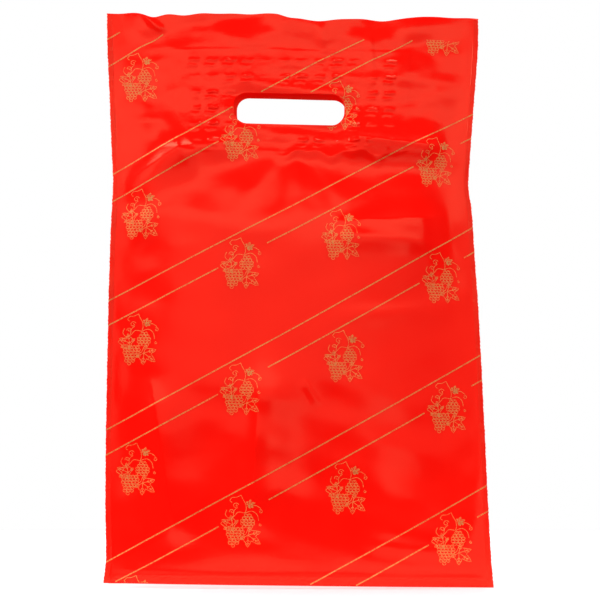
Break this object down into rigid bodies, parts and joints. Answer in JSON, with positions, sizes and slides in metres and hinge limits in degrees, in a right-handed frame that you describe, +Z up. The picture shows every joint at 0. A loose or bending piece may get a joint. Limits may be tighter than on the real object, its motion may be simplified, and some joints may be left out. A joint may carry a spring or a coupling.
{
  "type": "gift bag",
  "caption": "Flat plastic gift bag with a punched hand hole, glued-in handle patches, welded sides and a tucked-in bottom gusset; its mouth opens.",
  "frame": {"origin": "middle of the hand hole's upper edge, on the bag's middle plane, where a hook or a hand carries the bag", "axes": "+X across the bag, towards the right as seen from the front; the front faces -Y; +Z up, towards the mouth"},
  "size_m": [0.3, 0.02, 0.45],
  "materials": {
    "red_film": "glossy red polythene film with gold print",
    "weld_bead": "melted and flattened film",
    "patch_film": "thicker satin film",
    "patch_glue": "dashes of clear hot glue"
  },
  "bodies": {
    "back": {"back_panel": "red_film", "back_gusset_leg": "red_film", "front_gusset_leg": "red_film", "left_side_weld": "weld_bead", "right_side_weld": "weld_bead", "back_handle_patch": "patch_film", "back_patch_glue": "patch_glue"},
    "front": {"front_panel": "red_film", "front_handle_patch": "patch_film", "front_patch_glue": "patch_glue"}
  },
  "joints": [
    {"name": "mouth_open", "type": "hinge", "parent": "back", "child": "front", "pos_m": [0, -0.00045, -0.3855], "axis": [1, 0, 0], "range_deg": [0, 7], "stiffness_Nm_per_rad": 0.15, "springref_deg": -5.73}
  ]
}
